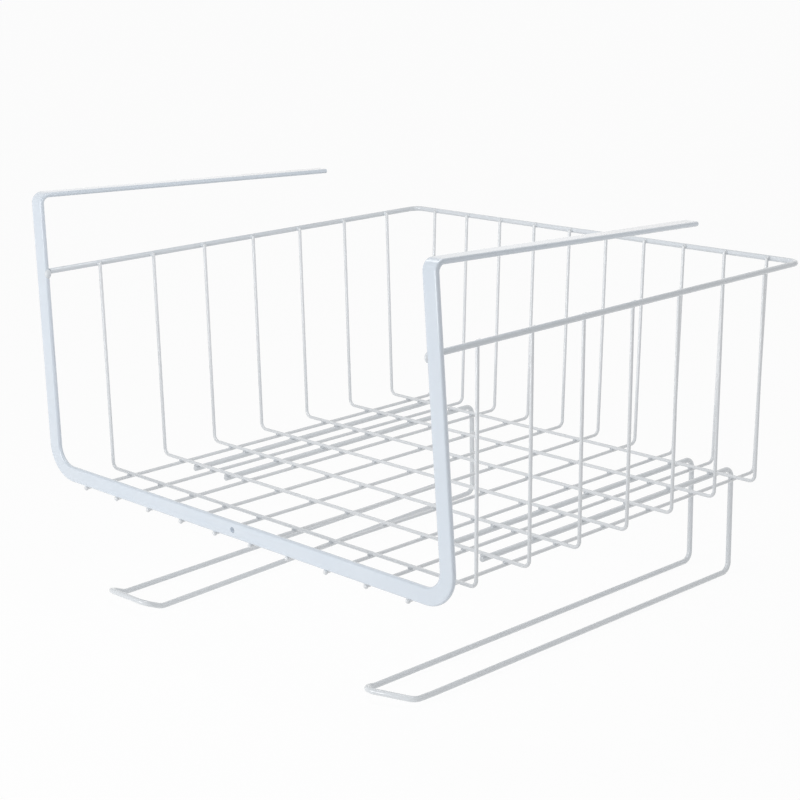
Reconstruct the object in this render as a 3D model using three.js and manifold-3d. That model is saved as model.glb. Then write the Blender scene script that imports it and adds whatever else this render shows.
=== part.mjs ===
// Under-shelf wire basket: a white powder-coated steel weldment that hangs on a shelf by two flat arms.
// Millimetres. X runs along the front, Y from the front to the back, Z up.
// The pieces are set out from the floor bar: y = 0 is its middle, and z = 0 is the middle of the
// cross wires on the basket's floor. The whole basket is then moved to stand on z = 0.

import * as THREE from 'three';
import { mergeVertices } from 'three/addons/utils/BufferGeometryUtils.js';
import Module from 'manifold-3d';

// Stock that the pieces are bent from
const WIRE_DIAMETER = 2.5;
const RIM_DIAMETER = 4;
const LOOP_DIAMETER = 4;
const BAR_WIDTH = 12;
const BAR_THICKNESS = 3.5;
const BAR_EDGE_RADIUS = 1.6;

// Gap left at each weld, where two pieces lie against each other
const SEAT_GAP = 0.2;

// Basket: the rim's width is between its wire centres, the depth is from the floor bar to the back wall.
// The inside show is how far the rim's inner side stands inside the uprights' inner edges.
const RIM_WIDTH = 384.9;
const RIM_HEIGHT = 155.5;
const RIM_CORNER_RADIUS = 8.5;
const RIM_INSIDE_SHOW = 0.8;
const BASKET_DEPTH = 359.5;
const SIDE_FLARE = 2.3;
const BACK_FLARE = 7.4;
const WALL_BEND_RADIUS = 5;
const WIRE_END_RISE = 1;

// Lattice: cross wires run from side to side, floor wires from the front up the back
const CROSS_WIRE_COUNT = 7;
const FIRST_CROSS_SETBACK = 39.1;
const LAST_CROSS_SETBACK = 27.7;
const FLOOR_WIRE_COUNT = 10;
const FLOOR_WIRE_MARGIN = 19.95;
const FLOOR_WIRE_SETBACK = 1.2;

// Front frame: one flat bar, bent edgewise at the floor and over the flat at the top of each upright
const ARM_HEIGHT = 210.65;
const ARM_REACH = 254.9;
const FLOOR_CORNER_RADIUS = 19;
const TOP_BEND_RADIUS = 5.8;
const FRAME_LEAN = THREE.MathUtils.degToRad(1.78);
const UPRIGHT_TAPER = THREE.MathUtils.degToRad(1.75);
const LEFT_ARM_DROOP = THREE.MathUtils.degToRad(2.14);
const RIGHT_ARM_DROOP = THREE.MathUtils.degToRad(2.89);
const ARM_TOE_IN = THREE.MathUtils.degToRad(2.9);
const BAR_HOLE_DIAMETER = 4;
const BAR_HOLE_SHIFT = 2.4;

// Loops: one bent wire each, hung below the floor under the second floor wire from each side
const LOOP_WIRE_SPACING = 36;
const LOOP_LEG_SETBACK = 1.6;
const LOOP_ARM_OVERRUN = 2.3;
const LOOP_BEND_RADIUS = 7;
const NOSE_LENGTH = 15;
const NOSE_KNEE_RADIUS = 16;
const NOSE_CORNER_RADIUS = 7.5;

// The loops are bent and hung by hand, so the two are not quite alike. A loop's drop is from its arms
// to its rails. The shifts move its legs and its nose to the right. Towards the nose its rails spread
// apart and climb. The nose's setback and rise are its left end's: its right end is further back by the
// skew, and lower by the sag.
const LEFT_LOOP_DROP = 76;
const LEFT_LEG_SHIFT = -5.4;
const LEFT_NOSE_SHIFT = 3.7;
const LEFT_RAIL_SPREAD = 7.4;
const LEFT_RAIL_CLIMB = -3.3;
const LEFT_NOSE_SETBACK = 0;
const LEFT_NOSE_RISE = 6.4;
const LEFT_NOSE_SKEW = 1;
const LEFT_NOSE_SAG = 0;
const RIGHT_LOOP_DROP = 81;
const RIGHT_LEG_SHIFT = 0;
const RIGHT_NOSE_SHIFT = 0;
const RIGHT_RAIL_SPREAD = 0;
const RIGHT_RAIL_CLIMB = 2.4;
const RIGHT_NOSE_SETBACK = 7.5;
const RIGHT_NOSE_RISE = 3.2;
const RIGHT_NOSE_SKEW = 16.5;
const RIGHT_NOSE_SAG = 2.6;

// Facets of the round pieces
const WIRE_SIDES = 8;
const HEAVY_WIRE_SIDES = 12;
const HOLE_SIDES = 24;
const EDGE_STEPS = 3;
const BEND_STEP = THREE.MathUtils.degToRad(11.25);

// Finish: a white powder coat on every piece
const COAT_COLOUR = 0xe6ecf3;
const COAT_ROUGHNESS = 0.42;
const COAT_METALNESS = 0;

// Places worked out from the sizes above
const wireRadius = WIRE_DIAMETER / 2;
const rimRadius = RIM_DIAMETER / 2;
const loopRadius = LOOP_DIAMETER / 2;
const rimSide = RIM_WIDTH / 2;
const wallTopSide = rimSide - rimRadius - SEAT_GAP - wireRadius;
const wallFloorSide = wallTopSide - SIDE_FLARE;
const wireTop = RIM_HEIGHT + WIRE_END_RISE;
const floorWireHeight = -(wireRadius + SEAT_GAP + wireRadius);
const backWallTop = BASKET_DEPTH + BACK_FLARE;
const rimBack = backWallTop + wireRadius + SEAT_GAP + rimRadius;
const barHeight = floorWireHeight + wireRadius + SEAT_GAP + BAR_WIDTH / 2;
const crossPitch = (BASKET_DEPTH - FIRST_CROSS_SETBACK - LAST_CROSS_SETBACK) / (CROSS_WIRE_COUNT - 1);
const floorPitch = 2 * (wallFloorSide - FLOOR_WIRE_MARGIN) / (FLOOR_WIRE_COUNT - 1);
const uprightAtRim = rimSide - rimRadius + RIM_INSIDE_SHOW + BAR_WIDTH / 2 / Math.cos(UPRIGHT_TAPER);

// The sizes of each loop
const leftSizes = {
  drop: LEFT_LOOP_DROP,
  legShift: LEFT_LEG_SHIFT,
  noseShift: LEFT_NOSE_SHIFT,
  spread: LEFT_RAIL_SPREAD,
  climb: LEFT_RAIL_CLIMB,
  setback: LEFT_NOSE_SETBACK,
  rise: LEFT_NOSE_RISE,
  skew: LEFT_NOSE_SKEW,
  sag: LEFT_NOSE_SAG,
};
const rightSizes = {
  drop: RIGHT_LOOP_DROP,
  legShift: RIGHT_LEG_SHIFT,
  noseShift: RIGHT_NOSE_SHIFT,
  spread: RIGHT_RAIL_SPREAD,
  climb: RIGHT_RAIL_CLIMB,
  setback: RIGHT_NOSE_SETBACK,
  rise: RIGHT_NOSE_RISE,
  skew: RIGHT_NOSE_SKEW,
  sag: RIGHT_NOSE_SAG,
};

const frontPlaneY = (z) => -Math.tan(FRAME_LEAN) * (z - barHeight);
const uprightX = (z) => uprightAtRim + Math.tan(UPRIGHT_TAPER) * (RIM_HEIGHT - z);
const crossWireY = (index) => FIRST_CROSS_SETBACK + crossPitch * index;
const floorWireX = (index) => floorPitch * (index - (FLOOR_WIRE_COUNT - 1) / 2);

// A path that says where each ring of the section goes and which way the section faces there
class RingPath extends THREE.Curve {
  constructor(rings) {
    super();
    this.rings = rings;
  }

  getSpacedPoints() {
    return this.rings.map((ring) => ring.point);
  }

  computeFrenetFrames() {
    return {
      tangents: this.rings.map((ring) => ring.along),
      normals: this.rings.map((ring) => ring.across),
      binormals: this.rings.map((ring) => ring.along.clone().cross(ring.across)),
    };
  }
}

// Rings round one bend, from the run before the corner to the run after it
function bendRings(before, corner, after, radius) {
  const into = corner.clone().sub(before).normalize();
  const out = after.clone().sub(corner).normalize();
  const angle = into.angleTo(out);
  const axis = into.clone().cross(out).normalize();
  const start = corner.clone().addScaledVector(into, -radius * Math.tan(angle / 2));
  const centre = axis.clone().cross(into).multiplyScalar(radius).add(start);
  const steps = Math.ceil(angle / BEND_STEP);
  const rings = [];
  for (let step = 0; step <= steps; step += 1) {
    const turn = angle * step / steps;
    const spoke = start.clone().sub(centre).applyAxisAngle(axis, turn);
    rings.push({ point: spoke.add(centre), along: into.clone().applyAxisAngle(axis, turn) });
  }
  return rings;
}

// Rings along straight runs from corner to corner, with a round bend at each inner corner
function runRings(corners, radii) {
  const last = corners.length - 1;
  const firstRun = corners[1].clone().sub(corners[0]).normalize();
  const lastRun = corners[last].clone().sub(corners[last - 1]).normalize();
  const bends = radii.map((radius, index) => (
    bendRings(corners[index], corners[index + 1], corners[index + 2], radius)
  ));
  return [
    { point: corners[0], along: firstRun },
    ...bends.flat(),
    { point: corners[last], along: lastRun },
  ];
}

// A round wire bent along the corners. Its section turns with the wire and never twists round it.
function bentWire(diameter, sides, corners, radii, firstAcross) {
  const rings = runRings(corners, radii);
  rings[0].across = firstAcross;
  for (let index = 1; index < rings.length; index += 1) {
    const turn = new THREE.Quaternion().setFromUnitVectors(rings[index - 1].along, rings[index].along);
    rings[index].across = rings[index - 1].across.clone().applyQuaternion(turn);
  }
  return sweep(wireSection(diameter, sides), rings);
}

// A regular polygon, the wire's diameter across its flats, with flats up, down and to both sides
function wireSection(diameter, sides) {
  const step = 2 * Math.PI / sides;
  const reach = diameter / 2 / Math.cos(step / 2);
  const points = Array.from({ length: sides }, (_, index) => {
    const angle = step * (index + 0.5);
    return new THREE.Vector2(reach * Math.cos(angle), reach * Math.sin(angle));
  });
  return new THREE.Shape(points);
}

// A flat bar's section, as wide as the bar along x, with rounded edges
function barSection() {
  const x = BAR_WIDTH / 2 - BAR_EDGE_RADIUS;
  const y = BAR_THICKNESS / 2 - BAR_EDGE_RADIUS;
  const quarter = Math.PI / 2;
  const shape = new THREE.Shape();
  shape.absarc(x, y, BAR_EDGE_RADIUS, 0, quarter);
  shape.absarc(-x, y, BAR_EDGE_RADIUS, quarter, 2 * quarter);
  shape.absarc(-x, -y, BAR_EDGE_RADIUS, 2 * quarter, 3 * quarter);
  shape.absarc(x, -y, BAR_EDGE_RADIUS, 3 * quarter, 4 * quarter);
  return shape;
}

function sweep(section, rings) {
  return new THREE.ExtrudeGeometry(section, {
    steps: rings.length - 1,
    curveSegments: EDGE_STEPS,
    extrudePath: new RingPath(rings),
  });
}

// The flat bar: left arm, left upright, floor bar, right upright and right arm in one length
function frontFrame() {
  const front = new THREE.Vector3(0, -Math.cos(FRAME_LEAN), -Math.sin(FRAME_LEAN));
  const corners = [...armCorners(-1, LEFT_ARM_DROOP), ...armCorners(1, RIGHT_ARM_DROOP).reverse()];
  const radii = [TOP_BEND_RADIUS, FLOOR_CORNER_RADIUS, FLOOR_CORNER_RADIUS, TOP_BEND_RADIUS];
  const rings = runRings(corners, radii);
  for (const ring of rings) {
    ring.across = barAcross(ring, front);
  }
  return drilled(sweep(barSection(), rings), front);
}

// One half of the bar's line: the arm's tip, the top of the upright and the floor corner
function armCorners(side, droop) {
  const top = new THREE.Vector3(side * uprightX(ARM_HEIGHT), frontPlaneY(ARM_HEIGHT), ARM_HEIGHT);
  const reach = ARM_REACH - top.y;
  const tip = new THREE.Vector3(-side * Math.tan(ARM_TOE_IN), 1, -Math.tan(droop));
  tip.multiplyScalar(reach).add(top);
  return [tip, top, new THREE.Vector3(side * uprightX(barHeight), 0, barHeight)];
}

// The bar's width runs in the front plane round the floor corners, and level from side to side above them
function barAcross(ring, front) {
  const belowMiddle = ring.point.z < (barHeight + ARM_HEIGHT) / 2;
  if (belowMiddle) {
    return front.clone().cross(ring.along);
  }
  const inward = new THREE.Vector3(-Math.sign(ring.point.x), 0, 0);
  return inward.addScaledVector(ring.along, -inward.dot(ring.along)).normalize();
}

// The hole through the floor bar, a little to the right of its middle
function drilled(bar, front) {
  const radius = BAR_HOLE_DIAMETER / 2;
  const drill = new THREE.CylinderGeometry(radius, radius, 2 * BAR_WIDTH, HOLE_SIDES);
  drill.applyQuaternion(new THREE.Quaternion().setFromUnitVectors(new THREE.Vector3(0, 1, 0), front));
  drill.translate(BAR_HOLE_SHIFT, 0, barHeight);
  return cut(bar, drill);
}

const wasm = await Module();
wasm.setup();

function solid(geometry) {
  const bare = geometry.clone();
  bare.deleteAttribute('normal');
  bare.deleteAttribute('uv');
  const merged = mergeVertices(bare);
  return new wasm.Manifold(new wasm.Mesh({
    numProp: 3,
    vertProperties: merged.attributes.position.array,
    triVerts: new Uint32Array(merged.index.array),
  }));
}

function cut(geometry, tool) {
  const mesh = solid(geometry).subtract(solid(tool)).getMesh();
  const result = new THREE.BufferGeometry();
  result.setAttribute('position', new THREE.BufferAttribute(mesh.vertProperties, 3));
  result.setIndex(new THREE.BufferAttribute(mesh.triVerts, 1));
  result.computeVertexNormals();
  return result;
}

// The rim: one wire round the sides and back, its ends butted against the backs of the uprights
function rimWire() {
  const barBack = frontPlaneY(RIM_HEIGHT - rimRadius) + BAR_THICKNESS / 2 / Math.cos(FRAME_LEAN);
  const frontEnd = barBack + SEAT_GAP;
  const corners = [
    new THREE.Vector3(-rimSide, frontEnd, RIM_HEIGHT),
    new THREE.Vector3(-rimSide, rimBack, RIM_HEIGHT),
    new THREE.Vector3(rimSide, rimBack, RIM_HEIGHT),
    new THREE.Vector3(rimSide, frontEnd, RIM_HEIGHT),
  ];
  const radii = [RIM_CORNER_RADIUS, RIM_CORNER_RADIUS];
  return bentWire(RIM_DIAMETER, HEAVY_WIRE_SIDES, corners, radii, new THREE.Vector3(0, 0, 1));
}

// A cross wire: down one side, over the floor and up the other side, inside the rim
function crossWire() {
  const corners = [
    new THREE.Vector3(-wallTopSide, 0, wireTop),
    new THREE.Vector3(-wallFloorSide, 0, 0),
    new THREE.Vector3(wallFloorSide, 0, 0),
    new THREE.Vector3(wallTopSide, 0, wireTop),
  ];
  const radii = [WALL_BEND_RADIUS, WALL_BEND_RADIUS];
  return bentWire(WIRE_DIAMETER, WIRE_SIDES, corners, radii, new THREE.Vector3(0, 1, 0));
}

// A floor wire: from under the floor bar, below the cross wires, and up the back inside the rim
function floorWire() {
  const corners = [
    new THREE.Vector3(0, FLOOR_WIRE_SETBACK - BAR_THICKNESS / 2, floorWireHeight),
    new THREE.Vector3(0, BASKET_DEPTH, floorWireHeight),
    new THREE.Vector3(0, backWallTop, wireTop),
  ];
  return bentWire(WIRE_DIAMETER, WIRE_SIDES, corners, [WALL_BEND_RADIUS], new THREE.Vector3(1, 0, 0));
}

// A loop: arms under the cross wires, legs down at the back, rails forward and an upturned nose
function loopWire(sizes) {
  const armHeight = -(wireRadius + SEAT_GAP + loopRadius);
  const railHeight = armHeight - sizes.drop;
  const kneeHeight = railHeight + sizes.climb;
  const armTip = crossWireY(1) - LOOP_ARM_OVERRUN;
  const leg = BASKET_DEPTH - LOOP_LEG_SETBACK;
  const halfLoop = (side, setback, rise) => {
    const armX = side * LOOP_WIRE_SPACING / 2;
    const legX = armX + sizes.legShift;
    const noseX = armX + sizes.noseShift + side * sizes.spread / 2;
    return [
      new THREE.Vector3(armX, armTip, armHeight),
      new THREE.Vector3(legX, leg, armHeight),
      new THREE.Vector3(legX, leg, railHeight),
      new THREE.Vector3(noseX, setback + NOSE_LENGTH, kneeHeight),
      new THREE.Vector3(noseX, setback, kneeHeight + rise),
    ];
  };
  const leftHalf = halfLoop(-1, sizes.setback, sizes.rise);
  const rightHalf = halfLoop(1, sizes.setback + sizes.skew, sizes.rise - sizes.sag);
  const halfRadii = [LOOP_BEND_RADIUS, LOOP_BEND_RADIUS, NOSE_KNEE_RADIUS, NOSE_CORNER_RADIUS];
  const corners = [...leftHalf, ...rightHalf.reverse()];
  const radii = [...halfRadii, ...halfRadii.toReversed()];
  return bentWire(LOOP_DIAMETER, HEAVY_WIRE_SIDES, corners, radii, new THREE.Vector3(1, 0, 0));
}

function piece(name, geometry) {
  const coat = new THREE.MeshStandardMaterial({
    color: COAT_COLOUR,
    roughness: COAT_ROUGHNESS,
    metalness: COAT_METALNESS,
  });
  const mesh = new THREE.Mesh(geometry, coat);
  mesh.name = name;
  return mesh;
}

// The lattice of cross wires and floor wires
function lattice() {
  const group = new THREE.Group();
  for (let index = 0; index < CROSS_WIRE_COUNT; index += 1) {
    const wire = piece(`cross_wire_${index + 1}`, crossWire());
    wire.position.y = crossWireY(index);
    group.add(wire);
  }
  for (let index = 0; index < FLOOR_WIRE_COUNT; index += 1) {
    const wire = piece(`floor_wire_${index + 1}`, floorWire());
    wire.position.x = floorWireX(index);
    group.add(wire);
  }
  return group;
}

// The two loops, each centred under the second floor wire from its side
function loops() {
  const group = new THREE.Group();
  const left = piece('left_loop', loopWire(leftSizes));
  left.position.x = floorWireX(1);
  const right = piece('right_loop', loopWire(rightSizes));
  right.position.x = floorWireX(FLOOR_WIRE_COUNT - 2);
  group.add(left, right);
  return group;
}

const weldment = new THREE.Group();
weldment.add(piece('front_frame', frontFrame()), piece('rim_wire', rimWire()), lattice(), loops());

// The origin is at the middle of the basket's footprint, at the level that the loops stand on
const box = new THREE.Box3().setFromObject(weldment, true);
const middle = box.getCenter(new THREE.Vector3());
weldment.position.set(-middle.x, -middle.y, -box.min.z);

const basket = new THREE.Group();
basket.add(weldment);

export default basket;
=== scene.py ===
"""Looks of an under-shelf wire basket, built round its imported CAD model.

The basket is a white powder-coated weldment: a flat bar bent into the front frame and its two arms,
a rim wire, a lattice of cross wires and floor wires, two loops below the floor, and the welds.
Everything is in metres, in the model's own frame: X along the front, Y to the back, Z up.
"""

import math

import bmesh
import bpy
from mathutils import Euler, Matrix, Vector


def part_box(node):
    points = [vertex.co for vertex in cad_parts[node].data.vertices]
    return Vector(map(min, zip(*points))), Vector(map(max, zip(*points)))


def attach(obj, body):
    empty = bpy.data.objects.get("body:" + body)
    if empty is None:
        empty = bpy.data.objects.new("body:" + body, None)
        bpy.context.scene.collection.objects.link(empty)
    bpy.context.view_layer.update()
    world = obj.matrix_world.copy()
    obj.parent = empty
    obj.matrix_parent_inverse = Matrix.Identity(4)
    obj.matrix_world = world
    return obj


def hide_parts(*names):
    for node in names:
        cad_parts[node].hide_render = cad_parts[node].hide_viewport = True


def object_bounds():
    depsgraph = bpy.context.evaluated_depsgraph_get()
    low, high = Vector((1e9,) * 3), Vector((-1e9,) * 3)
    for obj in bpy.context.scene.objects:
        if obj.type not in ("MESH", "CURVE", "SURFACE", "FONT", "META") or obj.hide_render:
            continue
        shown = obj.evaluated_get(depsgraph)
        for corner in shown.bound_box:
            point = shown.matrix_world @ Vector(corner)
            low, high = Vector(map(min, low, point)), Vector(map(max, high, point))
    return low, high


bl_info = {
    "name": "Wire basket looks",
    "version": (1, 0, 0),
    "blender": (4, 5, 0),
    "location": "3D View > Sidebar > Basket",
    "description": "Builds the coated bar, wires, loops and welds of an under-shelf basket",
    "category": "Object",
}

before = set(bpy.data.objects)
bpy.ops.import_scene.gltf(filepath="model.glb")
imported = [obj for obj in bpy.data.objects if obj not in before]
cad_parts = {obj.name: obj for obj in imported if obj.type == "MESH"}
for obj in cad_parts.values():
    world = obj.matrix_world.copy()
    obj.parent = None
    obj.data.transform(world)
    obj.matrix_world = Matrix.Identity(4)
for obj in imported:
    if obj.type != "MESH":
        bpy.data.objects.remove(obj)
CAD_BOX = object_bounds()
CAD_MIDDLE = (CAD_BOX[0] + CAD_BOX[1]) / 2

MM = 0.001
BODY = "root"

# Names of the CAD nodes
BAR_NODE = "front_frame"
RIM_NODE = "rim_wire"
LOOP_NODES = ("left_loop", "right_loop")


def numbered_nodes(stem):
    """The CAD nodes called stem_1, stem_2 and so on, in that order."""
    names = [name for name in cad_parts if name.startswith(stem)]
    return sorted(names, key=lambda name: int(name.rsplit("_", 1)[1]))


CROSS_NODES = numbered_nodes("cross_wire_")
FLOOR_NODES = numbered_nodes("floor_wire_")


def cad_size(node):
    """Width, depth and height of a CAD node."""
    low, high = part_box(node)
    return high - low


LATTICE_DIAMETER = cad_size(CROSS_NODES[0]).y
RIM_DIAMETER = cad_size(RIM_NODE).z
LOOP_DIAMETER = 4 * MM


# Kinds of properties

DISTANCE = {"precision": 5, "subtype": "DISTANCE", "unit": "LENGTH"}


def length(name, description, default):
    """A length in metres."""
    return bpy.props.FloatProperty(
        name=name, description=description, default=default, min=0.0, **DISTANCE
    )


def offset(name, description, default):
    """A length in metres that may go either way."""
    return bpy.props.FloatProperty(
        name=name, description=description, default=default, **DISTANCE
    )


def position(name, description, default):
    """A place in metres."""
    return bpy.props.FloatVectorProperty(
        name=name,
        description=description,
        default=default,
        size=3,
        subtype="TRANSLATION",
        unit="LENGTH",
    )


def angle(name, description, degrees):
    """An angle, given here in degrees."""
    return bpy.props.FloatProperty(
        name=name,
        description=description,
        default=math.radians(degrees),
        subtype="ANGLE",
        unit="ROTATION",
    )


def share(name, description, default):
    """A part of a whole, from 0 to 1."""
    return bpy.props.FloatProperty(
        name=name, description=description, default=default, min=0.0, max=1.0, subtype="FACTOR"
    )


def strength(name, description, default):
    """How strong a light is."""
    return bpy.props.FloatProperty(name=name, description=description, default=default, min=0.0)


def colour(name, description, default):
    """A linear colour."""
    return bpy.props.FloatVectorProperty(
        name=name,
        description=description,
        default=default,
        min=0.0,
        max=1.0,
        size=3,
        subtype="COLOR",
    )


def count(name, description, default):
    """A whole number."""
    return bpy.props.IntProperty(name=name, description=description, default=default, min=0)


# Sizes and colours that a user would change


class WIREBASKET_PG_wires(bpy.types.PropertyGroup):
    """Sizes of the bent wires."""

    lattice_diameter: length("Lattice wire", "Diameter of cross and floor wires", LATTICE_DIAMETER)
    rim_diameter: length("Rim wire", "Diameter of the rim wire", RIM_DIAMETER)
    loop_diameter: length("Loop wire", "Diameter of the loops' wire", LOOP_DIAMETER)
    side_flare: length("Side flare", "How far the side walls lean out from floor to rim", 2.3 * MM)
    back_flare: length("Back flare", "How far the back wall leans out from floor to rim", 7.4 * MM)
    wall_bend: length("Wall bend", "Radius of the bends from floor to wall", 5 * MM)
    rim_corner: length("Rim corner", "Radius of the rim's back corners", 8.5 * MM)
    end_rounding: length("End rounding", "Radius of the coat round a cut end", 0.55 * MM)
    sides: count("Sides", "Faces round a wire", 20)
    bend_steps: count("Bend steps", "Points along each bend", 12)


class WIREBASKET_PG_bar(bpy.types.PropertyGroup):
    """Sizes of the flat bar that makes the front frame and the arms."""

    width: length("Width", "Width of the flat bar", 12 * MM)
    thickness: length("Thickness", "Thickness of the flat bar", 3.5 * MM)
    edge_radius: length("Edge radius", "Radius of the bar's long edges", 1.6 * MM)
    floor_corner: length("Floor corner", "Radius of the corners beside the floor", 19 * MM)
    top_bend: length("Top bend", "Radius of the bends from upright to arm", 5.8 * MM)
    arm_height: length("Arm height", "Height of the arms above the cross wires", 210.65 * MM)
    arm_reach: length("Arm reach", "Length of the arms behind the floor bar", 254.9 * MM)
    lean: angle("Lean", "Forward lean of the uprights", 1.78)
    taper: angle("Taper", "Inward lean of the uprights", 1.75)
    left_droop: angle("Left droop", "Fall of the left arm to its tip", 2.14)
    right_droop: angle("Right droop", "Fall of the right arm to its tip", 2.89)
    toe_in: angle("Toe-in", "Inward turn of the arms", 2.9)
    wire_setback: length("Wire setback", "Floor wire ends behind the bar's face", 1.2 * MM)
    rim_show: length("Rim show", "How far the rim shows inside the uprights", 0.8 * MM)
    hole_diameter: length("Hole", "Diameter of the hole in the floor bar", 4 * MM)
    hole_shift: offset("Hole shift", "Hole to the right of the bar's middle", 2.4 * MM)
    hole_rounding: length("Hole rounding", "Radius of the coat round the hole", 0.35 * MM)
    end_rounding: length("End rounding", "Radius of the coat round the arm tips", 0.9 * MM)
    edge_steps: count("Edge steps", "Faces round each long edge", 6)
    bend_steps: count("Bend steps", "Rings along each bend", 16)


class WIREBASKET_PG_loops(bpy.types.PropertyGroup):
    """Sizes that both loops share."""

    spacing: length("Spacing", "Distance between the two arms of a loop", 36 * MM)
    leg_setback: length("Leg setback", "Legs in front of the back wall's foot", 1.6 * MM)
    overrun: length("Arm overrun", "Loop arm in front of the second cross wire", 2.3 * MM)
    bend: length("Leg bend", "Radius of the bends at the legs", 7 * MM)
    nose_length: length("Nose length", "Upturned length at the front of a loop", 15 * MM)
    nose_knee: length("Nose knee", "Radius where a rail turns up to the nose", 16 * MM)
    nose_corner: length("Nose corner", "Radius of the nose's two corners", 7.5 * MM)


def loop_sizes(drop, leg_shift, nose_shift, spread, climb, setback, rise, skew, sag):
    """The sizes of one loop, given in millimetres."""
    return {
        "drop": length("Drop", "Height of the legs", drop * MM),
        "leg_shift": offset("Leg shift", "Legs to the right of the arms' tips", leg_shift * MM),
        "nose_shift": offset("Nose shift", "Nose to the right of the arms' tips", nose_shift * MM),
        "spread": offset("Spread", "How much wider the nose is than the arms", spread * MM),
        "climb": offset("Climb", "How far the rails climb to the front", climb * MM),
        "setback": offset("Setback", "Nose behind the floor bar", setback * MM),
        "rise": offset("Rise", "How far the nose turns up", rise * MM),
        "skew": offset("Skew", "How much further back the nose's right corner is", skew * MM),
        "sag": offset("Sag", "How much lower the nose's right corner is", sag * MM),
    }


class WIREBASKET_PG_left_loop(bpy.types.PropertyGroup):
    """Sizes of the left loop."""

    __annotations__ = loop_sizes(
        drop=76,
        leg_shift=-5.4,
        nose_shift=3.7,
        spread=7.4,
        climb=-3.3,
        setback=0,
        rise=6.4,
        skew=1,
        sag=0,
    )


class WIREBASKET_PG_right_loop(bpy.types.PropertyGroup):
    """Sizes of the right loop."""

    __annotations__ = loop_sizes(
        drop=81,
        leg_shift=0,
        nose_shift=0,
        spread=0,
        climb=2.4,
        setback=7.5,
        rise=3.2,
        skew=16.5,
        sag=2.6,
    )


class WIREBASKET_PG_welds(bpy.types.PropertyGroup):
    """Sizes of the weld beads between the pieces."""

    seat_gap: length("Seat gap", "Gap at each weld between the CAD pieces", 0.2 * MM)
    lattice_spread: length("Lattice spread", "Half width of a weld where wires cross", 2.0 * MM)
    loop_spread: length("Loop spread", "Half width of a weld on a loop's arm", 2.5 * MM)
    rim_spread: length("Rim spread", "Half width of a weld on the rim", 1.9 * MM)
    bar_spread: length("Bar spread", "Half width of a weld under the floor bar", 1.7 * MM)
    bar_drop: length("Bar drop", "Half height of a weld under the floor bar", 1.9 * MM)
    rim_end_height: length("Rim end height", "Half height of a weld at a rim end", 3.5 * MM)
    rim_end_depth: length("Rim end depth", "Half depth of a weld at a rim end", 2.6 * MM)
    rim_end_spread: length("Rim end spread", "Half width of a weld at a rim end", 1.8 * MM)
    rim_end_sag: length("Rim end sag", "Weld at a rim end below the rim's middle", 1.5 * MM)
    height: length("Height", "Half height of a weld bead", 1.2 * MM)
    lumps: length("Lumps", "How far a bead's surface is uneven", 0.25 * MM)
    seed: count("Seed", "Seed of the uneven surface", 7)


class WIREBASKET_PG_coat(bpy.types.PropertyGroup):
    """Look of the powder coat. The real coat is one white; the whites of the bar, rim, loops and
    lattice are set apart as painted light and shade on each piece.
    """

    # Painted light and shade: one white powder coat, given a different white on each piece to stand
    # for the light on it, bluer on the bar for the blue light on its front faces.
    bar_white: colour("Bar", "Coat colour of the flat bar", (0.77, 0.85, 0.943))
    rim_white: colour("Rim", "Coat colour of the rim and its welds", (0.778, 0.824, 0.872))
    loops_white: colour("Loops", "Coat colour of the loops", (0.835, 0.872, 0.908))
    lattice_white: colour("Lattice", "Coat of floor, walls and bar welds", (0.854, 0.882, 0.911))
    # Welds: much greyer than the lattice coat, partly the weld's own thinner, greyer coat, partly
    # painted contact shadow where the wires cross.
    welds_white: colour("Welds", "Coat colour of floor and loop welds", (0.61, 0.645, 0.685))
    cloud_lift: share("Clouds", "How much whiter the coat is where it lies thicker", 0.11)
    # Darker edges and cut ends: partly a thinner coat, partly painted shade along the bar's rounded
    # edges.
    edge_shade_and_thinning_loss: share("Thin coat", "How much darker the coat is on edges and cut ends", 0.11)
    cloud_size: length("Cloud size", "Size of the colour variation", 42 * MM)
    gloss_size: length("Gloss size", "Size of the variation in gloss", 9 * MM)
    peel_size: length("Peel size", "Size of the orange peel", 1.4 * MM)
    peel_depth: length("Peel depth", "Depth of the orange peel", 0.016 * MM)
    roughness_low: share("Smoothest", "Roughness where the coat flowed best", 0.12)
    roughness_high: share("Roughest", "Roughness where the coat is dry", 0.22)


class WIREBASKET_PG_stage(bpy.types.PropertyGroup):
    """Floor, light and camera."""

    background: colour("Background", "Floor and backdrop to the camera", (0.973, 0.973, 0.973))
    floor_glow: strength("Floor glow", "How bright the floor is to the camera", 1.062)
    floor_diffuse: share("Shadow share", "Share of the floor that takes light and shadow", 0.1)
    side_level: strength("Side light", "Strength of the even light from all sides", 0.8)
    top_level: strength("Top light", "Strength of the even light from straight above", 0.24)
    front_place: position("Front light", "Where the front light stands", (-0.12, -1.25, 0.25))
    front_size: length("Front size", "Side of the square front light", 0.7)
    front_power: strength("Front power", "Power of the front light, in watts", 5.0)
    overhead_place: position("Overhead light", "Where the light above hangs", (0.0, -0.08, 0.65))
    overhead_size: length("Overhead size", "Side of the square light above", 0.3)
    overhead_power: strength("Overhead power", "Power of the light above, in watts", 0.6)
    camera_place: position(
        "Camera place", "Where the camera stands", (0.917682, -0.920006, 0.490697)
    )
    camera_azimuth: angle("Camera azimuth", "Camera's turn from looking straight back", 45.660)
    camera_fall: angle("Camera fall", "How far the camera looks down", 14.933)
    camera_roll: angle("Camera roll", "Camera's turn about its own line of sight", -0.965)
    camera_lens: bpy.props.FloatProperty(
        name="Lens",
        description="Focal length on a 36 mm sensor, in millimetres",
        default=83.250,
        min=1.0,
    )


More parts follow.
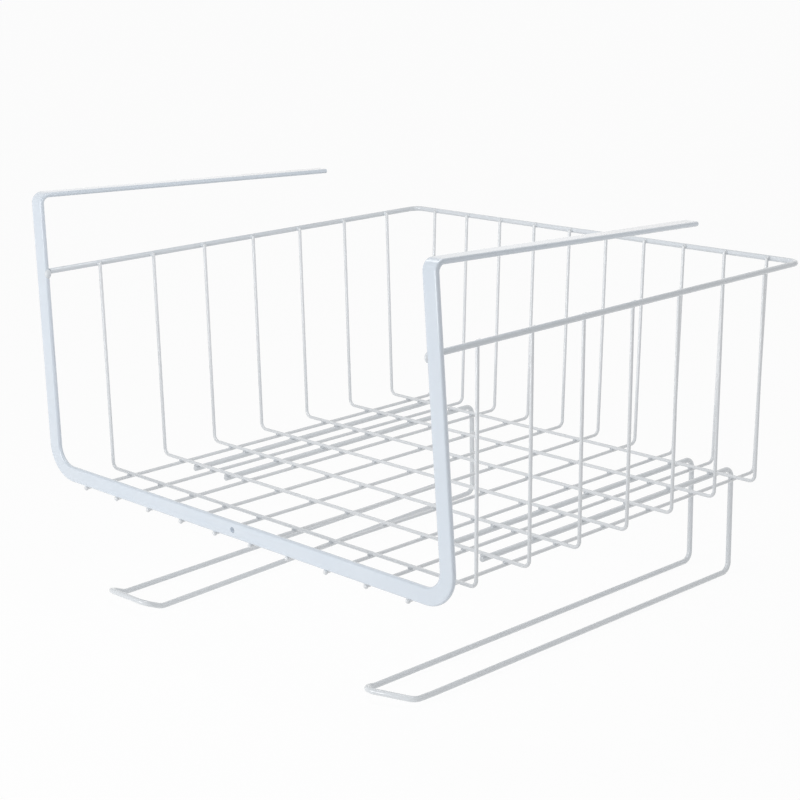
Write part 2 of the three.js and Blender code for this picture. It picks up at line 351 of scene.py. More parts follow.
class WIREBASKET_PG_basket(bpy.types.PropertyGroup):
    """All the sizes and colours of the basket."""

    wires: bpy.props.PointerProperty(type=WIREBASKET_PG_wires)
    bar: bpy.props.PointerProperty(type=WIREBASKET_PG_bar)
    loops: bpy.props.PointerProperty(type=WIREBASKET_PG_loops)
    left_loop: bpy.props.PointerProperty(type=WIREBASKET_PG_left_loop)
    right_loop: bpy.props.PointerProperty(type=WIREBASKET_PG_right_loop)
    welds: bpy.props.PointerProperty(type=WIREBASKET_PG_welds)
    coat: bpy.props.PointerProperty(type=WIREBASKET_PG_coat)
    stage: bpy.props.PointerProperty(type=WIREBASKET_PG_stage)


# Places of the pieces, read from the CAD nodes


class Layout:
    """Centre lines of the pieces, worked out from the CAD boxes and the sizes."""

    def __init__(self, basket):
        wires, bar = basket.wires, basket.bar
        seat = basket.welds.seat_gap
        self.wire_radius = wires.lattice_diameter / 2
        self.rim_radius = wires.rim_diameter / 2
        self.loop_radius = wires.loop_diameter / 2
        self.read_cross_wires(wires)
        self.read_floor_wires(wires)
        self.read_rim()
        self.bar_y = self.floor_front + bar.thickness / 2 - bar.wire_setback
        self.bar_z = self.floor_z + self.wire_radius + seat + bar.width / 2
        self.arm_z = self.cross_z + bar.arm_height
        half_width = bar.width / 2 / math.cos(bar.taper)
        self.upright_at_rim = self.rim_side - self.rim_radius + bar.rim_show + half_width
        self.loop_arm_z = self.cross_z - self.wire_radius - seat - self.loop_radius
        self.loop_arm_tip = self.cross_ys[1] - basket.loops.overrun
        self.loop_leg_y = self.back_floor - basket.loops.leg_setback

    def read_cross_wires(self, wires):
        """Rows, floor height, walls and tops of the cross wires."""
        boxes = [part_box(node) for node in CROSS_NODES]
        self.cross_ys = [(low.y + high.y) / 2 for low, high in boxes]
        low, high = boxes[0]
        self.cross_z = low.z + self.wire_radius
        self.wall_top = high.x - self.wire_radius
        self.wall_floor = self.wall_top - wires.side_flare
        self.wire_top = high.z

    def read_floor_wires(self, wires):
        """Columns, height, front ends and back wall of the floor wires."""
        boxes = [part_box(node) for node in FLOOR_NODES]
        self.floor_xs = [(low.x + high.x) / 2 for low, high in boxes]
        low, high = boxes[0]
        self.floor_z = low.z + self.wire_radius
        self.floor_front = low.y
        self.back_top = high.y - self.wire_radius
        self.back_floor = self.back_top - wires.back_flare

    def read_rim(self):
        """Sides, back, front ends and height of the rim."""
        low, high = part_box(RIM_NODE)
        self.rim_side = high.x - self.rim_radius
        self.rim_back = high.y - self.rim_radius
        self.rim_front = low.y
        self.rim_z = (low.z + high.z) / 2

    def front_plane_y(self, bar, z):
        """How far back the leaning front frame is at a height."""
        return self.bar_y - math.tan(bar.lean) * (z - self.bar_z)

    def upright_x(self, bar, z):
        """How far out an upright's middle is at a height."""
        return self.upright_at_rim + math.tan(bar.taper) * (self.rim_z - z)


# Node trees


def feed(tree, socket, value):
    """Gives an input its value, which is another node's output or a constant."""
    if isinstance(value, bpy.types.NodeSocket):
        tree.links.new(value, socket)
    else:
        socket.default_value = value


def add_node(tree, kind, inputs, **settings):
    """The outputs of a new node, made with these settings and with its inputs fed."""
    node = tree.nodes.new(kind)
    for name, value in settings.items():
        setattr(node, name, value)
    for name, value in inputs.items():
        feed(tree, node.inputs[name], value)
    return node.outputs


def math_node(tree, operation, first, second):
    """The result of a sum with two values; each is a socket or a number."""
    return add_node(tree, "ShaderNodeMath", {0: first, 1: second}, operation=operation)["Value"]


def empty_nodes(owner):
    """The emptied node tree of a material or a world."""
    owner.use_nodes = True
    owner.node_tree.nodes.clear()
    return owner.node_tree


def new_geometry_tree(name, inputs):
    """A tree that takes and gives geometry, and the sockets that bring in its named inputs."""
    tree = bpy.data.node_groups.new(name, "GeometryNodeTree")
    new_socket = tree.interface.new_socket
    new_socket(name="Geometry", in_out="INPUT", socket_type="NodeSocketGeometry")
    new_socket(name="Geometry", in_out="OUTPUT", socket_type="NodeSocketGeometry")
    for title, kind in inputs.items():
        new_socket(name=title, in_out="INPUT", socket_type=f"NodeSocket{kind}")
    return tree, add_node(tree, "NodeGroupInput", {})


def named_attribute(tree, name, kind):
    """What the points hold in an attribute."""
    node = add_node(tree, "GeometryNodeInputNamedAttribute", {"Name": name}, data_type=kind)
    return node["Attribute"]


def finish_tree(tree, geometry, coat):
    """The last nodes of a tree: smooth real meshes with the coat on them."""
    for kind in ("GeometryNodeSetShadeSmooth", "GeometryNodeRealizeInstances"):
        geometry = add_node(tree, kind, {"Geometry": geometry})["Geometry"]
    painted = add_node(tree, "GeometryNodeSetMaterial", {"Geometry": geometry, "Material": coat})
    add_node(tree, "NodeGroupOutput", {"Geometry": painted["Geometry"]})


def bent_wire_tree(name):
    """A round wire along a line of corners, with bends at the corners and drawn-in cut ends."""
    inputs = {"Radius": "Float", "Sides": "Int", "Bend Steps": "Int", "Coat": "Material"}
    tree, given = new_geometry_tree(name, inputs)
    line = add_node(tree, "GeometryNodeMeshToCurve", {"Mesh": given["Geometry"]})
    bends = add_node(
        tree,
        "GeometryNodeFilletCurve",
        {
            "Curve": line["Curve"],
            "Radius": named_attribute(tree, "bend_radius", "FLOAT"),
            "Count": given["Bend Steps"],
            "Limit Radius": True,
        },
        mode="POLY",
    )
    outline = {"Resolution": given["Sides"], "Radius": given["Radius"]}
    section = add_node(tree, "GeometryNodeCurvePrimitiveCircle", outline)
    wire = add_node(
        tree,
        "GeometryNodeCurveToMesh",
        {
            "Curve": bends["Curve"],
            "Profile Curve": section["Curve"],
            "Scale": named_attribute(tree, "thickness", "FLOAT"),
            "Fill Caps": True,
        },
    )
    finish_tree(tree, wire["Mesh"], given["Coat"])
    return tree


# Faces of a weld bead, and how close its lumps are, per metre
BEAD_SEGMENTS, BEAD_RINGS = 12, 7
LUMP_SCALE = 700.0


def weld_tree(name):
    """Beads on points: each is a flattened lump turned to its own seat, with an uneven surface."""
    inputs = {"Lumps": "Float", "Lump Scale": "Float", "Seed": "Float", "Coat": "Material"}
    tree, given = new_geometry_tree(name, inputs)
    ball = {"Segments": BEAD_SEGMENTS, "Rings": BEAD_RINGS, "Radius": 1.0}
    bead = add_node(tree, "GeometryNodeMeshUVSphere", ball)
    turn = add_node(
        tree,
        "FunctionNodeAxesToRotation",
        {
            "Primary Axis": named_attribute(tree, "out", "FLOAT_VECTOR"),
            "Secondary Axis": named_attribute(tree, "along", "FLOAT_VECTOR"),
        },
        primary_axis="Z",
        secondary_axis="X",
    )
    beads = add_node(
        tree,
        "GeometryNodeInstanceOnPoints",
        {
            "Points": given["Geometry"],
            "Instance": bead["Mesh"],
            "Rotation": turn["Rotation"],
            "Scale": named_attribute(tree, "spread", "FLOAT_VECTOR"),
        },
    )
    solid = add_node(tree, "GeometryNodeRealizeInstances", {"Geometry": beads["Instances"]})
    noise = add_node(
        tree,
        "ShaderNodeTexNoise",
        {
            "Vector": add_node(tree, "GeometryNodeInputPosition", {})["Position"],
            "W": given["Seed"],
            "Scale": given["Lump Scale"],
        },
        noise_dimensions="4D",
    )
    centred = math_node(tree, "SUBTRACT", noise["Fac"], 0.5)
    shift = add_node(
        tree,
        "ShaderNodeVectorMath",
        {
            "Vector": add_node(tree, "GeometryNodeInputNormal", {})["Normal"],
            "Scale": math_node(tree, "MULTIPLY", centred, given["Lumps"]),
        },
        operation="SCALE",
    )
    moved = {"Geometry": solid["Geometry"], "Offset": shift["Vector"]}
    lumpy = add_node(tree, "GeometryNodeSetPosition", moved)
    finish_tree(tree, lumpy["Geometry"], given["Coat"])
    return tree


def tree_named(name, make):
    """The tree of that name, made when it is first asked for."""
    return bpy.data.node_groups.get(name) or make(name)


def plain_mesh(obj):
    """Turns the object's modifiers into a plain mesh and takes them off."""
    graph = bpy.context.evaluated_depsgraph_get()
    result = bpy.data.meshes.new_from_object(obj.evaluated_get(graph))
    if not result.polygons:
        raise RuntimeError(f"{obj.name} came out empty")
    start = obj.data
    obj.modifiers.clear()
    obj.data = result
    result.name = obj.name
    bpy.data.meshes.remove(start)
    return obj


def grown_by_tree(name, start, tree, values):
    """An object whose mesh the tree makes out of the starting mesh."""
    obj = bpy.data.objects.new(name, start)
    bpy.context.scene.collection.objects.link(obj)
    grow = obj.modifiers.new("Grow", "NODES")
    grow.node_group = tree
    for item in tree.interface.items_tree:
        if item.in_out == "INPUT" and item.name in values:
            grow[item.identifier] = values[item.name]
    return plain_mesh(obj)


def as_piece(obj, *nodes):
    """Makes the object a coated piece of the basket, which may stand for CAD nodes."""
    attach(obj, BODY)
    if nodes:
        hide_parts(*nodes)
    return obj


# The powder coat

COAT_IOR = 1.5
SKIN_WEIGHT = 1.0
SKIN_ROUGHNESS = 0.05
CLOUD_DETAIL = 2.0
GLOSS_DETAIL = 3.0
PEEL_DETAIL = 1.0

# How much deeper the orange peel is on a weld
WELD_PEEL = 2

# Range that holds most of a noise's values
NOISE_LOW, NOISE_HIGH = 0.3, 0.7

# A colour's sockets on a mix node, which has numbers and vectors under the same names
MIX_FIRST, MIX_SECOND, MIX_RESULT = 6, 7, 2


def opaque(shade):
    """A colour with full alpha."""
    return (*shade, 1.0)


def noise_on_object(tree, place, size, detail):
    """Noise of a given size on the piece's own coordinates."""
    inputs = {"Vector": place, "Scale": 1 / size, "Detail": detail}
    return add_node(tree, "ShaderNodeTexNoise", inputs)["Fac"]


def mixed(tree, factor, first, second):
    """Two colours mixed by a factor; each is a socket or a colour."""
    inputs = {"Factor": factor, MIX_FIRST: first, MIX_SECOND: second}
    return add_node(tree, "ShaderNodeMix", inputs, data_type="RGBA")[MIX_RESULT]


def spread_over(tree, value, low, high):
    """Noise brought from its middle range to the range between two values."""
    inputs = {
        "Value": value,
        "From Min": NOISE_LOW,
        "From Max": NOISE_HIGH,
        "To Min": low,
        "To Max": high,
    }
    return add_node(tree, "ShaderNodeMapRange", inputs)["Result"]


def powder_coat(name, coat, white, peel_depth):
    """White powder coat: clouded white, darker on edges for a thinner coat and painted edge shade,
    uneven gloss and an orange peel.
    """
    material = bpy.data.materials.get(name)
    if material:
        return material
    material = bpy.data.materials.new(name)
    tree = empty_nodes(material)
    place = add_node(tree, "ShaderNodeTexCoord", {})["Object"]

    cloud_noise = noise_on_object(tree, place, coat.cloud_size, CLOUD_DETAIL)
    clouds = spread_over(tree, cloud_noise, 0.0, 1.0)
    cloud = [level + (1 - level) * coat.cloud_lift for level in white]
    clouded = mixed(tree, clouds, opaque(white), opaque(cloud))
    # Greyer white on edges and cut ends: a thinner coat, and painted shade on the bar's rounded
    # edges.
    edge = add_node(tree, "ShaderNodeAttribute", {}, attribute_name="coat_thinning_and_edge_shade")
    thin = [level * (1 - coat.edge_shade_and_thinning_loss) for level in white]

    gloss = noise_on_object(tree, place, coat.gloss_size, GLOSS_DETAIL)
    bumps = noise_on_object(tree, place, coat.peel_size, PEEL_DETAIL)
    peel = {"Strength": 1.0, "Distance": peel_depth, "Height": bumps}
    surface = add_node(
        tree,
        "ShaderNodeBsdfPrincipled",
        {
            "Base Color": mixed(tree, edge["Fac"], clouded, opaque(thin)),
            "Metallic": 0.0,
            "Roughness": spread_over(tree, gloss, coat.roughness_low, coat.roughness_high),
            "IOR": COAT_IOR,
            "Coat Weight": SKIN_WEIGHT,
            "Coat Roughness": SKIN_ROUGHNESS,
            "Normal": add_node(tree, "ShaderNodeBump", peel)["Normal"],
        },
    )
    add_node(tree, "ShaderNodeOutputMaterial", {"Surface": surface["BSDF"]})
    return material


def coat_on(part, coat):
    """The coat on one kind of piece: bar, rim, loops, lattice or welds, each with its own white as
    painted light and shade.
    """
    deeper = WELD_PEEL if part == "welds" else 1
    white = getattr(coat, f"{part}_white")
    return powder_coat(f"Powder coat on {part}", coat, white, deeper * coat.peel_depth)


# Bent wires

# Turns from a cut end to the wire's side, one for each ring of the rounding
END_TURNS = tuple(math.radians(degrees) for degrees in (0, 30, 60, 90))


def end_rounding(rounding):
    """Rings of a rounded end: distance from it, how far drawn in, and how thin the coat is."""
    steps = []
    for turn in END_TURNS:
        along, across = math.cos(turn), math.sin(turn)
        steps.append((rounding * (1 - along), rounding * (1 - across), along))
    return steps


def wire_line(name, corners, bends, radius, rounding):
    """A line of corners for the wire tree, with closer points at both ends for the rounding."""
    first, last = corners[0], corners[-1]
    inward = (corners[1] - first).normalized()
    outward = (last - corners[-2]).normalized()
    steps = [(step, 1 - inset / radius, thin) for step, inset, thin in end_rounding(rounding)]
    points = [(first + inward * step, 0.0, scale, thin) for step, scale, thin in steps]
    points += [(corner, bend, 1.0, 0.0) for corner, bend in zip(corners[1:-1], bends)]
    steps.reverse()
    points += [(last - outward * step, 0.0, scale, thin) for step, scale, thin in steps]
    mesh = bpy.data.meshes.new(name)
    edges = [(index, index + 1) for index in range(len(points) - 1)]
    mesh.from_pydata([point[0] for point in points], edges, [])
    for column, attribute in enumerate(("bend_radius", "thickness", "coat_thinning_and_edge_shade"), start=1):
        values = mesh.attributes.new(attribute, "FLOAT", "POINT")
        values.data.foreach_set("value", [point[column] for point in points])
    return mesh


def bent_wire(basket, node, diameter, corners, bends, coat):
    """One wire of the basket, which stands for a CAD node."""
    wires = basket.wires
    name = f"coated_{node}"
    start = wire_line(name, corners, bends, diameter / 2, wires.end_rounding)
    values = {
        "Radius": diameter / 2,
        "Sides": wires.sides,
        "Bend Steps": wires.bend_steps,
        "Coat": coat,
    }
    wire = grown_by_tree(name, start, tree_named("Bent wire", bent_wire_tree), values)
    return as_piece(wire, node)


# The flat bar

# Corners of the bar's section, in turn: which side and which face
SECTION_CORNERS = ((1, 1), (-1, 1), (-1, -1), (1, -1))

# Strip of flat face beside each rounded edge, which keeps the shading of the face flat
EDGE_SUPPORT = 0.3 * MM

DRILL_SEGMENTS = 40
DRILL_REACH = 3
HOLE_ROUNDING_STEPS = 3
HOLE_EDGE_ANGLE = math.radians(50)
SHARP_ANGLE = math.radians(40)


def bend_rings(before, corner, after, radius, steps):
    """Places and directions round one bend of the bar."""
    into = (corner - before).normalized()
    out = (after - corner).normalized()
    turn = into.angle(out)
    axis = into.cross(out).normalized()
    start = corner - into * (radius * math.tan(turn / 2))
    centre = start + axis.cross(into) * radius
    rings = []
    for step in range(steps + 1):
        rotation = Matrix.Rotation(turn * step / steps, 3, axis)
        rings.append((centre + rotation @ (start - centre), rotation @ into))
    return rings


def bar_corners(bar, layout, side, droop):
    """One half of the bar's line: the arm's tip, the top of the upright and the floor corner."""
    z = layout.arm_z
    top = Vector((side * layout.upright_x(bar, z), layout.front_plane_y(bar, z), z))
    run = Vector((-side * math.tan(bar.toe_in), 1.0, -math.tan(droop)))
    tip = top + run * (layout.bar_y + bar.arm_reach - top.y)
    floor = Vector((side * layout.upright_x(bar, layout.bar_z), layout.bar_y, layout.bar_z))
    return [tip, top, floor]


def bar_line(bar, layout):
    """Places and directions along the whole bar, from one arm's tip to the other's."""
    corners = bar_corners(bar, layout, -1, bar.left_droop)
    corners += bar_corners(bar, layout, 1, bar.right_droop)[::-1]
    radii = (bar.top_bend, bar.floor_corner, bar.floor_corner, bar.top_bend)
    rings = []
    for index, radius in enumerate(radii):
        rings += bend_rings(*corners[index : index + 3], radius, bar.bend_steps)
    first = (corners[1] - corners[0]).normalized()
    last = (corners[-1] - corners[-2]).normalized()
    return [(corners[0], first)] + rings + [(corners[-1], last)]


def bar_across(bar, layout, place, along):
    """Direction of the bar's width: in the front plane low down, level from side to side above."""
    if place.z < (layout.bar_z + layout.arm_z) / 2:
        front = Vector((0.0, -math.cos(bar.lean), -math.sin(bar.lean)))
        return front.cross(along)
    inward = Vector((-math.copysign(1.0, place.x), 0.0, 0.0))
    return (inward - along * inward.dot(along)).normalized()


def bar_section(bar, inset):
    """The section's outline, drawn in by the inset: across, through, and how thin the coat is,
    which also carries painted shade along the rounded edges.
    """
    radius = bar.edge_radius - inset
    x = bar.width / 2 - bar.edge_radius
    y = bar.thickness / 2 - bar.edge_radius
    outline = []
    for quarter, (side, face) in enumerate(SECTION_CORNERS):
        arc = []
        for step in range(bar.edge_steps + 1):
            turn = math.pi / 2 * (quarter + step / bar.edge_steps)
            across = side * x + radius * math.cos(turn)
            through = face * y + radius * math.sin(turn)
            # The third value peaks on each rounded edge: a thinner coat there, and painted shade
            # along the edge.
            arc.append((across, through, math.sin(2 * turn) ** 2))
        flat = (side * (x - EDGE_SUPPORT), face * (y + radius), 0.0)
        outline += arc + [flat] if quarter % 2 == 0 else [flat] + arc
    return outline


def bar_rings(bar, layout):
    """Rings of the bar's section along its line, drawn in step by step at both tips."""
    (first, onward), *between, (last, outward) = bar_line(bar, layout)
    steps = end_rounding(bar.end_rounding)
    rings = [(first + onward * step, onward, inset) for step, inset, _ in steps]
    rings += [(place, along, 0.0) for place, along in between]
    steps.reverse()
    rings += [(last - outward * step, outward, inset) for step, inset, _ in steps]
    return rings


def bar_mesh(name, bar, layout):
    """The whole bar as one closed mesh."""
    mesh = bpy.data.meshes.new(name)
    shape = bmesh.new()
    thinning_and_shade_layer = shape.verts.layers.float.new("coat_thinning_and_edge_shade")
    loops = []
    for place, along, inset in bar_rings(bar, layout):
        across = bar_across(bar, layout, place, along)
        through = along.cross(across)
        ring = []
        for u, v, thin in bar_section(bar, inset):
            vertex = shape.verts.new(place + across * u + through * v)
            vertex[thinning_and_shade_layer] = thin
            ring.append(vertex)
        loops.append(ring)
    for ring, following in zip(loops, loops[1:]):
        for index in range(len(ring)):
            after = (index + 1) % len(ring)
            shape.faces.new((ring[index], ring[after], following[after], following[index]))
    shape.faces.new(loops[0][::-1])
    shape.faces.new(loops[-1])
    bmesh.ops.recalc_face_normals(shape, faces=shape.faces)
    for face in shape.faces:
        face.smooth = True
    shape.to_mesh(mesh)
    shape.free()
    return mesh


def drill(bar, layout):
    """A round tool for the hole in the floor bar."""
    mesh = bpy.data.meshes.new("drill")
    shape = bmesh.new()
    radius = bar.hole_diameter / 2
    bmesh.ops.create_cone(
        shape,
        cap_ends=True,
        segments=DRILL_SEGMENTS,
        radius1=radius,
        radius2=radius,
        depth=DRILL_REACH * bar.thickness,
    )
    aim = Matrix.Rotation(math.pi / 2 + bar.lean, 4, "X")
    place = Matrix.Translation((bar.hole_shift, layout.bar_y, layout.bar_z))
    bmesh.ops.transform(shape, matrix=place @ aim, verts=shape.verts)
    shape.to_mesh(mesh)
    shape.free()
    tool = bpy.data.objects.new("drill", mesh)
    bpy.context.scene.collection.objects.link(tool)
    return tool


def drill_hole(obj, bar, layout):
    """Cuts the hole into the bar, with rounded edges."""
    tool = drill(bar, layout)
    hole = obj.modifiers.new("Hole", "BOOLEAN")
    hole.operation = "DIFFERENCE"
    hole.solver = "EXACT"
    hole.object = tool
    rounding = obj.modifiers.new("Hole rounding", "BEVEL")
    rounding.width = bar.hole_rounding
    rounding.segments = HOLE_ROUNDING_STEPS
    rounding.limit_method = "ANGLE"
    rounding.angle_limit = HOLE_EDGE_ANGLE
    plain_mesh(obj)
    tool_mesh = tool.data
    bpy.data.objects.remove(tool)
    bpy.data.meshes.remove(tool_mesh)


class WIREBASKET_OT_front_bar(bpy.types.Operator):
    """Bend the flat bar: two arms, two uprights and the floor bar, with its hole."""

    bl_idname = "wirebasket.front_bar"
    bl_label = "Front bar"

    def execute(self, context):
        basket = context.scene.wire_basket
        bar, layout = basket.bar, Layout(basket)
        name = f"coated_{BAR_NODE}"
        obj = bpy.data.objects.new(name, bar_mesh(name, bar, layout))
        context.scene.collection.objects.link(obj)
        drill_hole(obj, bar, layout)
        obj.data.set_sharp_from_angle(angle=SHARP_ANGLE)
        obj.data.materials.clear()
        obj.data.materials.append(coat_on("bar", basket.coat))
        as_piece(obj, BAR_NODE)
        return {"FINISHED"}


class WIREBASKET_OT_rim(bpy.types.Operator):
    """Bend the rim wire round the sides and back."""

    bl_idname = "wirebasket.rim"
    bl_label = "Rim wire"

    def execute(self, context):
        basket = context.scene.wire_basket
        layout = Layout(basket)
        corners = [
            Vector((-layout.rim_side, layout.rim_front, layout.rim_z)),
            Vector((-layout.rim_side, layout.rim_back, layout.rim_z)),
            Vector((layout.rim_side, layout.rim_back, layout.rim_z)),
            Vector((layout.rim_side, layout.rim_front, layout.rim_z)),
        ]
        bends = [basket.wires.rim_corner] * 2
        coat = coat_on("rim", basket.coat)
        bent_wire(basket, RIM_NODE, basket.wires.rim_diameter, corners, bends, coat)
        return {"FINISHED"}


class WIREBASKET_OT_cross_wires(bpy.types.Operator):
    """Bend the cross wires: down one side, over the floor and up the other side."""

    bl_idname = "wirebasket.cross_wires"
    bl_label = "Cross wires"

    def execute(self, context):
        basket = context.scene.wire_basket
        layout = Layout(basket)
        coat = coat_on("lattice", basket.coat)
        bends = [basket.wires.wall_bend] * 2
        for node, y in zip(CROSS_NODES, layout.cross_ys):
            corners = [
                Vector((-layout.wall_top, y, layout.wire_top)),
                Vector((-layout.wall_floor, y, layout.cross_z)),
                Vector((layout.wall_floor, y, layout.cross_z)),
                Vector((layout.wall_top, y, layout.wire_top)),
            ]
            bent_wire(basket, node, basket.wires.lattice_diameter, corners, bends, coat)
        return {"FINISHED"}


class WIREBASKET_OT_floor_wires(bpy.types.Operator):
    """Bend the floor wires: from under the floor bar to the back and up the back wall."""

    bl_idname = "wirebasket.floor_wires"
    bl_label = "Floor wires"

    def execute(self, context):
        basket = context.scene.wire_basket
        layout = Layout(basket)
        coat = coat_on("lattice", basket.coat)
        bends = [basket.wires.wall_bend]
        for node, x in zip(FLOOR_NODES, layout.floor_xs):
            corners = [
                Vector((x, layout.floor_front, layout.floor_z)),
                Vector((x, layout.back_floor, layout.floor_z)),
                Vector((x, layout.back_top, layout.wire_top)),
            ]
            bent_wire(basket, node, basket.wires.lattice_diameter, corners, bends, coat)
        return {"FINISHED"}


def each_loop(basket, layout):
    """Each loop's CAD node, its own sizes, and how far across the middle of its arms is."""
    left, right = LOOP_NODES
    return (
        (left, basket.left_loop, layout.floor_xs[1]),
        (right, basket.right_loop, layout.floor_xs[-2]),
    )


class WIREBASKET_OT_loops(bpy.types.Operator):
    """Bend the two loops: arms under the floor, legs down, rails forward and an upturned nose."""

    bl_idname = "wirebasket.loops"
    bl_label = "Loops"

    def execute(self, context):
        basket = context.scene.wire_basket
        loops, layout = basket.loops, Layout(basket)
        half_bends = [loops.bend, loops.bend, loops.nose_knee, loops.nose_corner]
        bends = half_bends + half_bends[::-1]
        coat = coat_on("loops", basket.coat)
        for node, sizes, middle in each_loop(basket, layout):
            left = self.half_line(loops, layout, sizes, middle, -1)
            right = self.half_line(loops, layout, sizes, middle, 1)
            bent_wire(basket, node, basket.wires.loop_diameter, left + right[::-1], bends, coat)
        return {"FINISHED"}

    @staticmethod
    def half_line(loops, layout, sizes, middle, side):
        """Corners of one side of a loop, from its arm's tip to its nose."""
        arm_x = middle + side * loops.spacing / 2
        leg_x = arm_x + sizes.leg_shift
        nose_x = arm_x + sizes.nose_shift + side * sizes.spread / 2
        rail_z = layout.loop_arm_z - sizes.drop
        knee_z = rail_z + sizes.climb
        nose_y = layout.bar_y + sizes.setback
        nose_z = knee_z + sizes.rise
        if side > 0:
            nose_y += sizes.skew
            nose_z -= sizes.sag
        return [
            Vector((arm_x, layout.loop_arm_tip, layout.loop_arm_z)),
            Vector((leg_x, layout.loop_leg_y, layout.loop_arm_z)),
            Vector((leg_x, layout.loop_leg_y, rail_z)),
            Vector((nose_x, nose_y + loops.nose_length, knee_z)),
            Vector((nose_x, nose_y, nose_z)),
        ]


# Welds

ACROSS = Vector((1.0, 0.0, 0.0))
BACK = Vector((0.0, 1.0, 0.0))
UP = Vector((0.0, 0.0, 1.0))


def weld_beads(basket, name, seats, spread, coat):
    """Beads at the seats; each seat is a place, the way out of the joint and the way along it."""
    mesh = bpy.data.meshes.new(name)
    mesh.from_pydata([place for place, _, _ in seats], [], [])
    for attribute, values in (
        ("out", [out for _, out, _ in seats]),
        ("along", [along for _, _, along in seats]),
        ("spread", [spread] * len(seats)),
    ):
        column = mesh.attributes.new(attribute, "FLOAT_VECTOR", "POINT")
        column.data.foreach_set("vector", [number for value in values for number in value])
    values = {
        "Lumps": basket.welds.lumps,
        "Lump Scale": LUMP_SCALE,
        "Seed": float(basket.welds.seed),
        "Coat": coat,
    }
    return as_piece(grown_by_tree(name, mesh, tree_named("Weld beads", weld_tree), values))


class WIREBASKET_OT_welds(bpy.types.Operator):
    """Put a weld bead wherever two pieces of the basket meet."""

    bl_idname = "wirebasket.welds"
    bl_label = "Welds"

    def execute(self, context):
        basket = context.scene.wire_basket
        welds, layout = basket.welds, Layout(basket)
        self.lattice_welds(basket, welds, layout)
        self.loop_welds(basket, welds, layout)
        self.rim_welds(basket, welds, layout)
        self.bar_welds(basket, welds, layout)
        self.rim_end_welds(basket, welds, layout)
        return {"FINISHED"}

    @staticmethod
    def lattice_welds(basket, welds, layout):
        """Beads where cross wires and floor wires meet."""
        z = (layout.cross_z + layout.floor_z) / 2
        seats = [(Vector((x, y, z)), UP, ACROSS) for y in layout.cross_ys for x in layout.floor_xs]
        spread = Vector((welds.lattice_spread, welds.lattice_spread, welds.height))
        # The welds' grey coat is partly painted contact shadow where the wires cross.
        weld_beads(basket, "lattice_welds", seats, spread, coat_on("welds", basket.coat))

    @staticmethod
    def loop_welds(basket, welds, layout):
        """Beads where the loops' arms meet the cross wires."""
        z = layout.cross_z - layout.wire_radius - welds.seat_gap / 2
        reach = layout.loop_leg_y - layout.loop_arm_tip
        half = basket.loops.spacing / 2
        seats = []
        for _, sizes, middle in each_loop(basket, layout):
            for y in layout.cross_ys[1:]:
                shift = sizes.leg_shift * (y - layout.loop_arm_tip) / reach
                for arm in (middle - half, middle + half):
                    seats.append((Vector((arm + shift, y, z)), UP, ACROSS))
        spread = Vector((welds.loop_spread, welds.loop_spread, welds.height))
        # The welds' grey coat is partly painted contact shadow where the arms meet the cross wires.
        weld_beads(basket, "loop_welds", seats, spread, coat_on("welds", basket.coat))

    @staticmethod
    def rim_welds(basket, welds, layout):
        """Beads between the rim and the wires' tops."""
        inset = layout.rim_radius + welds.seat_gap / 2
        seats = []
        for side in (-1, 1):
            x = side * (layout.rim_side - inset)
            seats += [(Vector((x, y, layout.rim_z)), ACROSS, UP) for y in layout.cross_ys]
        y = layout.rim_back - inset
        seats += [(Vector((x, y, layout.rim_z)), BACK, UP) for x in layout.floor_xs]
        spread = Vector((welds.rim_spread, welds.rim_spread, welds.height))
        weld_beads(basket, "rim_welds", seats, spread, coat_on("rim", basket.coat))

    @staticmethod
    def bar_welds(basket, welds, layout):
        """Beads between the floor bar and the floor wires' front ends."""
        seats = [(Vector((x, layout.bar_y, layout.floor_z)), UP, ACROSS) for x in layout.floor_xs]
        spread = Vector((welds.bar_spread, basket.bar.thickness / 2, welds.bar_drop))
        weld_beads(basket, "bar_welds", seats, spread, coat_on("lattice", basket.coat))

    @staticmethod
    def rim_end_welds(basket, welds, layout):
        """Beads between the rim's ends and the uprights."""
        x = layout.rim_side - layout.rim_radius + basket.bar.rim_show
        y = layout.front_plane_y(basket.bar, layout.rim_z)
        z = layout.rim_z - welds.rim_end_sag
        ends = [(Vector((side * x, y, z)), ACROSS, UP) for side in (-1, 1)]
        spread = Vector((welds.rim_end_height, welds.rim_end_depth, welds.rim_end_spread))
        weld_beads(basket, "rim_end_welds", ends, spread, coat_on("rim", basket.coat))


# The stage

FLOOR_HALF = 15.0
FLOOR_GAP = 0.2 * MM
FLOOR_GREY = (0.9, 0.9, 0.9)
WHITE = (1.0, 1.0, 1.0)
SENSOR_WIDTH = 36.0
FARTHEST_SEEN = 100.0


def seen_directly(tree):
    """A factor that is 1 for what the camera, a reflection or a see-through surface shows."""
    rays = add_node(tree, "ShaderNodeLightPath", {})
    total = rays["Is Camera Ray"]
    for name in ("Is Glossy Ray", "Is Transmission Ray"):
        total = math_node(tree, "MAXIMUM", total, rays[name])
    return total


def show(tree, factor, lit, shown, kind):
    """Ends a tree in a mix of the shader that takes part in the light and the one that is seen."""
    pick = add_node(tree, "ShaderNodeMixShader", {"Fac": factor, 1: lit, 2: shown})
    add_node(tree, kind, {"Surface": pick["Shader"]})


def sky_strength(tree, stage):
    """Strength of the even light, which falls from the horizon to straight above."""
    direction = add_node(tree, "ShaderNodeTexCoord", {})["Generated"]
    height = add_node(tree, "ShaderNodeSeparateXYZ", {"Vector": direction})["Z"]
    fall = {"Value": height, "To Min": stage.side_level, "To Max": stage.top_level}
    return add_node(tree, "ShaderNodeMapRange", fall)["Result"]


